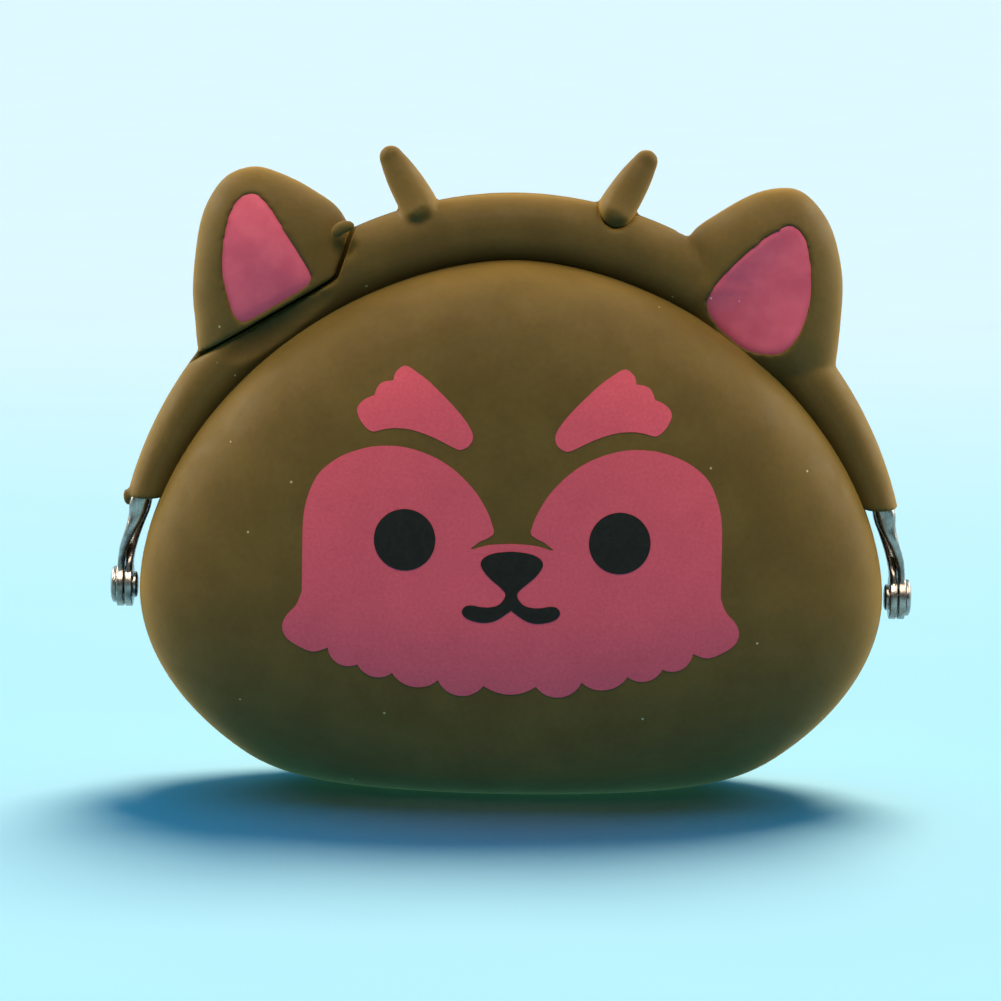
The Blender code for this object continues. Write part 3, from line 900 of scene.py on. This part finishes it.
class PURSE_OT_rivets(bpy.types.Operator):
    """Models the rivets that hinge the two bows"""

    bl_idname = "purse.rivets"
    bl_label = "Hinge rivets"

    def execute(self, context):
        plating = nickel_plating()
        for name, end in (("left", -1), ("right", 1)):
            rivet = turned("hinge_rivet_" + name + "_steel", rivet_profile(end))
            finish(rivet, plating, SHARP_CREASE)
            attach(rivet, "pouch")
            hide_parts("hinge_rivet_" + name)
        return {"FINISHED"}


def rivet_profile(end):
    """A rivet from its tail by the pouch to its rounded head outside."""
    sizes = steel()
    head_face = hinge_half_span()
    head_seat = head_face - sizes.head
    tail_seat = head_seat - 2 * sizes.eye_strip - 3 * sizes.play
    tail_face = tail_seat - sizes.tail
    tail = domed(tail_face, -sizes.tail * 0.5, sizes.tail_radius, 0.55, quarter(6))
    head = domed(head_face, sizes.head * 0.6, sizes.head_radius, 0.45, reversed(quarter(8)))
    middle = [(tail_seat, sizes.tail_radius), (tail_seat, sizes.shank_radius),
              (head_seat, sizes.shank_radius), (head_seat, sizes.head_radius)]
    return [(end * x, radius) for x, radius in tail + middle + head]


def arc(start, end, sag, count):
    """Points from start up to, and without, end, on an arc that stands sag out to the left of the way."""
    middle = (start + end) / 2
    way = end - start
    across = Vector((-way.y, way.x)).normalized()
    half = way.length / 2
    radius = (half ** 2 + sag ** 2) / (2 * sag)
    centre = middle + across * (sag - radius)
    reach = math.asin(min(1.0, half / radius))
    points = []
    for k in range(count):
        turn = reach * (2 * k / count - 1)
        points.append(centre + across * radius * math.cos(turn) + way.normalized() * radius * math.sin(turn))
    return points


def mirrored(half):
    """A closed outline from its right half, which starts and ends on the middle line."""
    return half + on_side(-1, [p for p in reversed(half) if abs(p.x) > TOUCH_GAP / 10])


def mask_outline():
    """The light mask: two round lobes, straight cheeks and a scalloped lower edge."""
    bridge = through(millimetres((0, 36.5), (3.0, 36.3), (5.5, 35.6)), 6)
    notch = millimetres((5.55, 35.75))
    tip = through(millimetres((4.3, 36.75), (3.3, 37.2), (2.55, 37.75), (2.45, 38.3)), 4)
    lobe = through(millimetres((2.45, 38.3), (3.3, 40.6), (5.1, 43.5), (7.9, 46.25), (10.9, 48.0),
                               (14.4, 49.05), (17.6, 49.15), (20.3, 48.65), (23.3, 47.4), (25.9, 45.2),
                               (27.3, 42.2), (27.9, 38.9), (27.95, 33.5), (27.95, 29.4)), 5)
    flare = through(millimetres((27.95, 29.4), (28.7, 27.5), (30.0, 26.0), (30.55, 24.6), (30.2, 23.2),
                                (28.9, 22.1), (26.5, 21.15), (24.4, 21.8)), 5)
    notches = millimetres((24.4, 21.8), (20.4, 19.65), (15.75, 18.6), (9.6, 17.75), (3.5, 17.1), (-3.5, 17.1))
    sags = [sag * MM for sag in (1.25, 1.2, 1.5, 1.85, 1.2)]
    scallop_steps = 12
    scallops = []
    for start, end, sag in zip(notches, notches[1:], sags):
        scallops += arc(start, end, sag, scallop_steps)
    to_the_middle = len(scallops) - scallop_steps // 2 + 1
    return mirrored(bridge + notch + tip + lobe + flare + scallops[:to_the_middle])


def brow_outline():
    """The right brow, with a ragged outer end."""
    smooth = through(millimetres((16.15, 57.75), (15.9, 58.75), (15.0, 59.6), (14.2, 59.6), (13.1, 58.95),
                                 (11.4, 57.75), (9.6, 56.1), (7.8, 54.3), (6.3, 52.5), (5.45, 50.8),
                                 (5.9, 49.5), (7.0, 48.9), (7.95, 49.15), (9.4, 49.85), (11.3, 50.7),
                                 (13.7, 51.4), (15.75, 51.55), (17.3, 51.35), (18.7, 51.0), (19.7, 51.5),
                                 (20.6, 52.7), (20.9, 54.0), (20.0, 55.1), (18.65, 55.75)), 4)
    ragged = through(millimetres((18.65, 55.75), (18.4, 56.5), (17.9, 57.25), (17.1, 57.6),
                                 (16.15, 57.75)), 4)
    return smooth + ragged


def muzzle_outline():
    """The nose and the mouth below it, in one piece."""
    half = through(millimetres((0, 35.5), (2.2, 35.25), (3.65, 34.65), (4.15, 33.75), (3.6, 32.65),
                               (2.6, 31.6), (1.4, 30.6), (0.8, 29.8), (1.05, 28.95), (1.75, 28.25),
                               (2.8, 27.95), (4.0, 27.95), (5.2, 28.15), (6.1, 28.0), (6.55, 27.3),
                               (6.1, 26.55), (5.0, 26.05), (3.5, 25.85), (2.1, 26.15), (0.85, 26.9)), 4)
    return mirrored(half + millimetres((0, 27.55)))


def eye_outline(own):
    sizes = face()
    middle = Vector((own * sizes.eye_half_span, sizes.eye_height))
    steps = 72
    turns = [2 * math.pi * k / steps for k in range(steps)]
    return [middle + Vector((math.cos(t), math.sin(t))) * sizes.eye_radius for t in turns]


def printed(name, patch, outline, layer, ink):
    """One area of ink: a thin skin on the pouch's front, cut to an outline. layer counts from 1."""
    only(patch)
    bpy.ops.object.duplicate()
    item = bpy.context.object
    item.name = name
    trim = pouch().wall
    for axis in (0, 2):
        values = [p[axis // 2] for p in outline]
        for value, way in ((min(values) - trim, -1), (max(values) + trim, 1)):
            place, normal = Vector(), Vector()
            place[axis] = value
            normal[axis] = way
            edit(item, (bpy.ops.mesh.bisect, {"plane_co": place, "plane_no": normal, "clear_outer": True}))
    thickness = face().ink * (layer + 1)
    apply_modifier(item, "SOLIDIFY", thickness=thickness, offset=2 * layer / (layer + 1) - 1)
    face_outwards(item)
    combine(item, block("outline", outline, -2 * pouch().half_depth, -TOUCH_GAP), "INTERSECT")
    finish(item, ink, SHARP_CREASE)
    bend_with(item)
    return item


class PURSE_OT_face(bpy.types.Operator):
    """Prints the face on the front: mask, brows, eyes, nose and mouth"""

    bl_idname = "purse.face"
    bl_label = "Printed face"

    def execute(self, context):
        pink = pink_ink()
        black = black_ink()
        brow = brow_outline()
        patch = half_pouch("face patch", -1)
        for name, outline in (("mask_print", mask_outline()), ("brow_print_right", brow),
                              ("brow_print_left", on_side(-1, reversed(brow)))):
            printed(name, patch, outline, 1, pink)
        for name, outline in (("eye_print_right", eye_outline(1)), ("eye_print_left", eye_outline(-1)),
                              ("muzzle_print", muzzle_outline())):
            printed(name, patch, outline, 2, black)
        bpy.data.objects.remove(patch)
        return {"FINISHED"}


def add_node(tree, kind, links=None, **settings):
    """Adds a node with its settings; links maps its inputs to values, sRGB hex or other nodes' sockets."""
    node = tree.nodes.new(kind)
    for name, value in settings.items():
        setattr(node, name, value)
    for name, value in (links or {}).items():
        if isinstance(value, bpy.types.NodeSocket):
            tree.links.new(value, node.inputs[name])
        elif isinstance(value, str):
            node.inputs[name].default_value = (*linear(value), 1)
        else:
            node.inputs[name].default_value = value
    return node


def new_material(name):
    """A material with one Principled shader, and its node tree."""
    material = bpy.data.materials.new(name)
    material.use_nodes = True
    return material, material.node_tree, material.node_tree.nodes["Principled BSDF"]


def noise(tree, grain, detail=2.0, stretch=(1, 1, 1)):
    """Noise with grains of a size in metres, in the object's own coordinates."""
    where = add_node(tree, "ShaderNodeTexCoord")
    place = add_node(tree, "ShaderNodeMapping", {"Vector": where.outputs["Object"], "Scale": stretch})
    return add_node(tree, "ShaderNodeTexNoise", {"Vector": place.outputs[0], "Scale": 1 / grain,
                                                 "Detail": detail}).outputs[0]


def wander(tree, grain, detail, middle, low, high):
    """A value that wanders with noise, from low to high over the middle range of the noise."""
    return add_node(tree, "ShaderNodeMapRange", {
        "Value": noise(tree, grain, detail), "From Min": middle[0], "From Max": middle[1],
        "To Min": low, "To Max": high}).outputs[0]


def drifting(tree, grain, detail, middle, first, second):
    """A colour that drifts from one pigment to another."""
    return add_node(tree, "ShaderNodeMix", {
        0: wander(tree, grain, detail, middle, 0, 1), 6: first, 7: second}, data_type="RGBA").outputs[2]


def mottled(tree, body, grain, detail, middle, low, high):
    """A colour whose brightness wanders from low to high."""
    return add_node(tree, "ShaderNodeMix", {
        0: 1.0, 6: body, 7: wander(tree, grain, detail, middle, low, high)},
        data_type="RGBA", blend_type="MULTIPLY").outputs[2]


def flecked(tree, body, fleck, spacing, radius, share):
    """A colour with sparse round flecks: one in each cell of spacing, of which only a share is kept."""
    where = add_node(tree, "ShaderNodeTexCoord")
    cells = add_node(tree, "ShaderNodeTexVoronoi", {"Vector": where.outputs["Object"], "Scale": 1 / spacing})
    inside = add_node(tree, "ShaderNodeMapRange", {
        "Value": cells.outputs["Distance"], "From Min": 0.6 * radius / spacing, "From Max": radius / spacing,
        "To Min": 1, "To Max": 0})
    kept = add_node(tree, "ShaderNodeMath", {0: cells.outputs["Color"], 1: 1 - share},
                    operation="GREATER_THAN")
    shown = add_node(tree, "ShaderNodeMath", {0: inside.outputs[0], 1: kept.outputs[0]}, operation="MULTIPLY")
    return add_node(tree, "ShaderNodeMix", {0: shown.outputs[0], 6: body, 7: fleck},
                    data_type="RGBA").outputs[2]


def soft_skin(tree, shader, body, specular, grain, height, low, high):
    """A dull skin: faint shine, fine grain under the light, and roughness that wanders from low to high."""
    relief = add_node(tree, "ShaderNodeBump", {
        "Height": noise(tree, grain, 3), "Distance": height, "Strength": 1.0})
    tree.links.new(body, shader.inputs["Base Color"])
    shader.inputs["Specular IOR Level"].default_value = specular
    tree.links.new(relief.outputs[0], shader.inputs["Normal"])
    tree.links.new(wander(tree, 9 * grain, 2, (0.35, 0.65), low, high), shader.inputs["Roughness"])


def velvet(shader, weight, tint):
    """The soft bright edge that silicone's dusty skin shows where it turns away."""
    shader.inputs["Sheen Weight"].default_value = weight
    shader.inputs["Sheen Roughness"].default_value = 0.45
    shader.inputs["Sheen Tint"].default_value = (*linear(tint), 1)


def olive_silicone():
    """Dull olive-brown rubber: the pigment drifts over the moulding, and a little pale lint clings to it."""
    material, tree, shader = new_material("moulded olive silicone")
    body = drifting(tree, 7 * MM, 3, (0.35, 0.65), "#52401B", "#5A471F")
    body = mottled(tree, body, 0.8 * MM, 2, (0.3, 0.7), 0.95, 1.05)
    body = flecked(tree, body, "#A49A72", 4 * MM, 0.2 * MM, 0.4)
    soft_skin(tree, shader, body, 0.12, 0.3 * MM, 0.012 * MM, 0.58, 0.7)
    velvet(shader, 0.4, "#FFC860")
    return material


def pink_silicone():
    """The inlays' pink rubber: smoother than the olive, with faint clouds and a speck of white dust."""
    material, tree, shader = new_material("moulded pink silicone")
    body = drifting(tree, 3 * MM, 3, (0.35, 0.65), "#C45061", "#CF5A69")
    body = flecked(tree, body, "#E9B7B9", 2.4 * MM, 0.2 * MM, 0.35)
    soft_skin(tree, shader, body, 0.15, 0.25 * MM, 0.01 * MM, 0.5, 0.62)
    velvet(shader, 0.25, "#FFB4B4")
    return material


def pink_ink():
    """Screen-printed pink ink: an even coat with a fine speckle from the mesh and the rubber below."""
    material, tree, shader = new_material("pink silicone ink")
    body = drifting(tree, 0.4 * MM, 2, (0.3, 0.7), "#BD4956", "#C7515B")
    body = mottled(tree, body, 6 * MM, 2, (0.35, 0.65), 0.97, 1.03)
    soft_skin(tree, shader, body, 0.12, 0.3 * MM, 0.008 * MM, 0.56, 0.66)
    velvet(shader, 0.2, "#FFB0A8")
    return material


def black_ink():
    """Printed black: flat and soft, a little greyer in places where the coat is thin."""
    material, tree, shader = new_material("black silicone ink")
    body = drifting(tree, 0.7 * MM, 3, (0.35, 0.7), "#171814", "#1E1E1A")
    soft_skin(tree, shader, body, 0.12, 0.25 * MM, 0.008 * MM, 0.6, 0.75)
    return material


def nickel_plating():
    """Thin nickel on sprung steel: scratched along its length and dulled in clouds by handling."""
    material, tree, shader = new_material("worn nickel plating")
    body = drifting(tree, 1.6 * MM, 3, (0.4, 0.65), "#A39C95", "#7C736B")
    tree.links.new(body, shader.inputs["Base Color"])
    shader.inputs["Metallic"].default_value = 1
    scratches = noise(tree, 0.9 * MM, 3, (8, 8, 0.8))
    relief = add_node(tree, "ShaderNodeBump", {"Height": scratches, "Distance": 0.02 * MM, "Strength": 1.0})
    worn = add_node(tree, "ShaderNodeMapRange", {
        "Value": scratches, "From Min": 0.35, "From Max": 0.65, "To Min": 0.2, "To Max": 0.34})
    tree.links.new(relief.outputs[0], shader.inputs["Normal"])
    tree.links.new(worn.outputs[0], shader.inputs["Roughness"])
    return material


LAMPS = (  # name, setting, where it shines from, spread in degrees, INCLUDE for the paper alone
    ("back light", "back", (0.18, 0.66, 1.0), 28, "INCLUDE"),
    ("shade fill", "fill", (0.0, 1.0, 0.9), 110, "INCLUDE"),
    ("front light", "front", (0.0, -0.6, 1.0), 40, "EXCLUDE"),
    ("side light", "side", (-1, 0.4, 0.7), 50, "EXCLUDE"),
    ("side light", "side", (1, 0.4, 0.7), 50, "EXCLUDE"),
)


class PURSE_OT_stage(bpy.types.Operator):
    """Sets up the camera, the lamps, the surround and the paper floor"""

    bl_idname = "purse.stage"
    bl_label = "Studio"

    def execute(self, context):
        settings = context.scene.purse_stage
        add_camera(context.scene, settings)
        paper = add_floor(settings)
        for lamp in LAMPS:
            add_lamp(settings, paper, *lamp)
        add_surround(context.scene, settings)
        context.scene.view_settings.view_transform = "Standard"
        return {"FINISHED"}


def add_camera(scene, settings):
    """The photograph's view: a long lens a little above the purse."""
    aim = Vector((settings.aim_side, 0, settings.aim_height))
    back = Vector((0, -math.cos(settings.elevation), math.sin(settings.elevation)))
    place = aim + back * settings.distance
    turn = back.to_track_quat("Z", "Y") @ Matrix.Rotation(settings.roll, 3, "Z").to_quaternion()
    bpy.ops.object.camera_add(location=place, rotation=turn.to_euler())
    camera = bpy.context.object
    camera.data.lens = camera.data.sensor_width * settings.distance / settings.frame_width
    camera.data.clip_start = 0.01
    scene.camera = camera


def add_lamp(settings, paper, name, setting, towards, spread, state):
    """A soft sun lamp that lights the paper alone, INCLUDE, or all but the paper, EXCLUDE, as flags would."""
    turn = Vector(towards).to_track_quat("Z", "Y")
    bpy.ops.object.light_add(type="SUN", location=(0, 0, settings.distance), rotation=turn.to_euler())
    lamp = bpy.context.object
    lamp.name = name
    lamp.data.energy = getattr(settings, setting)
    lamp.data.angle = math.radians(spread)
    lamp.data.color = getattr(settings, setting + "_tint")
    flag = bpy.data.collections.new(name + " flag")
    flag.objects.link(paper)
    flag.collection_objects[0].light_linking.link_state = state
    lamp.light_linking.receiver_collection = flag


def seen_directly(tree):
    """1 for what the camera, a reflection or clear glass sees, and 0 for bounced light."""
    path = add_node(tree, "ShaderNodeLightPath").outputs
    either = add_node(tree, "ShaderNodeMath", {0: path["Is Camera Ray"], 1: path["Is Glossy Ray"]},
                      operation="MAXIMUM")
    return add_node(tree, "ShaderNodeMath", {0: either.outputs[0], 1: path["Is Transmission Ray"]},
                    operation="MAXIMUM").outputs[0]


def fade_backwards(tree, place, start, end, low, high, kind):
    """A value that runs smoothly from low at one place along Y to high at another."""
    where = add_node(tree, "ShaderNodeTexCoord")
    split = add_node(tree, "ShaderNodeSeparateXYZ", {0: where.outputs[place]})
    return add_node(tree, "ShaderNodeMapRange", {
        "Value": split.outputs["Y"], "From Min": start, "From Max": end, "To Min": low, "To Max": high},
        interpolation_type=kind).outputs[0]


def add_floor(settings):
    """A wide sheet of pale paper, which throws an even, deeper light back at the purse."""
    bpy.ops.mesh.primitive_plane_add(size=settings.paper_size)
    floor = bpy.context.object
    floor.name = "paper_floor"
    material, tree, shader = new_material("pale cyan paper")
    tree.nodes.remove(shader)
    # Painted light: the paper's colour dims towards the front and brightens far behind, in place of the
    # light's fall-off.
    behind = fade_backwards(tree, "Object", settings.fade_start, settings.fade_end, 0, 1, "SMOOTHERSTEP")
    shade = add_node(tree, "ShaderNodeMix", {
        0: behind, 6: (*settings.paper_near_painted_dim, 1), 7: (*settings.paper_far_painted_bright, 1)}, data_type="RGBA")
    pulp = mottled(tree, shade.outputs[2], 50 * MM, 4, (0.3, 0.7), 0.985, 1.0)
    cover = add_node(tree, "ShaderNodeBsdfDiffuse", {"Color": pulp})
    bounce = add_node(tree, "ShaderNodeEmission", {
        "Color": (*settings.bounce_tint, 1), "Strength": settings.bounce})
    either = add_node(tree, "ShaderNodeMixShader", {0: seen_directly(tree), 1: bounce.outputs[0],
                                                    2: cover.outputs[0]})
    tree.links.new(either.outputs[0], tree.nodes["Material Output"].inputs["Surface"])
    floor.data.materials.append(material)
    return floor


def add_surround(scene, settings):
    """Light from all round; the camera and reflections see it in the paper's colour."""
    world = bpy.data.worlds.new("surround")
    world.use_nodes = True
    tree = world.node_tree
    path = add_node(tree, "ShaderNodeLightPath")
    behind = fade_backwards(tree, "Generated", -0.7, 0.4, settings.front_dim, 1, "SMOOTHSTEP")
    shown = add_node(tree, "ShaderNodeMath", {0: path.outputs["Is Camera Ray"], 1: behind},
                     operation="MAXIMUM")
    direct = seen_directly(tree)
    tint = add_node(tree, "ShaderNodeMix", {
        0: direct, 6: (*settings.surround_tint, 1), 7: (*settings.backdrop, 1)}, data_type="RGBA")
    strength = add_node(tree, "ShaderNodeMix", {
        "Factor": direct, "A": settings.surround, "B": shown.outputs[0]})
    background = tree.nodes["Background"]
    tree.links.new(tint.outputs[2], background.inputs["Color"])
    tree.links.new(strength.outputs[0], background.inputs["Strength"])
    scene.world = world


class PURSE_PT_panel(bpy.types.Panel):
    """Lists the operators for the purse's groups of pieces"""

    bl_idname = "PURSE_PT_panel"
    bl_label = "Silicone Coin Purse"
    bl_space_type = "VIEW_3D"
    bl_region_type = "UI"
    bl_category = "Purse"

    def draw(self, context):
        for operator in OPERATORS:
            self.layout.operator(operator.bl_idname)


OPERATORS = (PURSE_OT_stage, PURSE_OT_pouch, PURSE_OT_sleeves, PURSE_OT_inlays, PURSE_OT_frame,
             PURSE_OT_rivets, PURSE_OT_face)
GROUPS = {"purse_pouch": PouchSizes, "purse_rim": RimSizes, "purse_ears": EarSizes,
          "purse_fingers": FingerSizes, "purse_steel": SteelSizes, "purse_face": FaceSizes,
          "purse_stage": StageSettings}


def register():
    for cls in (*GROUPS.values(), *OPERATORS, PURSE_PT_panel):
        bpy.utils.register_class(cls)
    for name, group in GROUPS.items():
        setattr(bpy.types.Scene, name, PointerProperty(type=group))


def unregister():
    for name in GROUPS:
        delattr(bpy.types.Scene, name)
    for cls in (PURSE_PT_panel, *reversed(OPERATORS), *GROUPS.values()):
        bpy.utils.unregister_class(cls)


def main():
    register()
    bpy.ops.purse.stage()
    bpy.ops.purse.pouch()
    bpy.ops.purse.sleeves()
    bpy.ops.purse.inlays()
    bpy.ops.purse.frame()
    bpy.ops.purse.rivets()
    bpy.ops.purse.face()


if __name__ == "__main__":
    main()
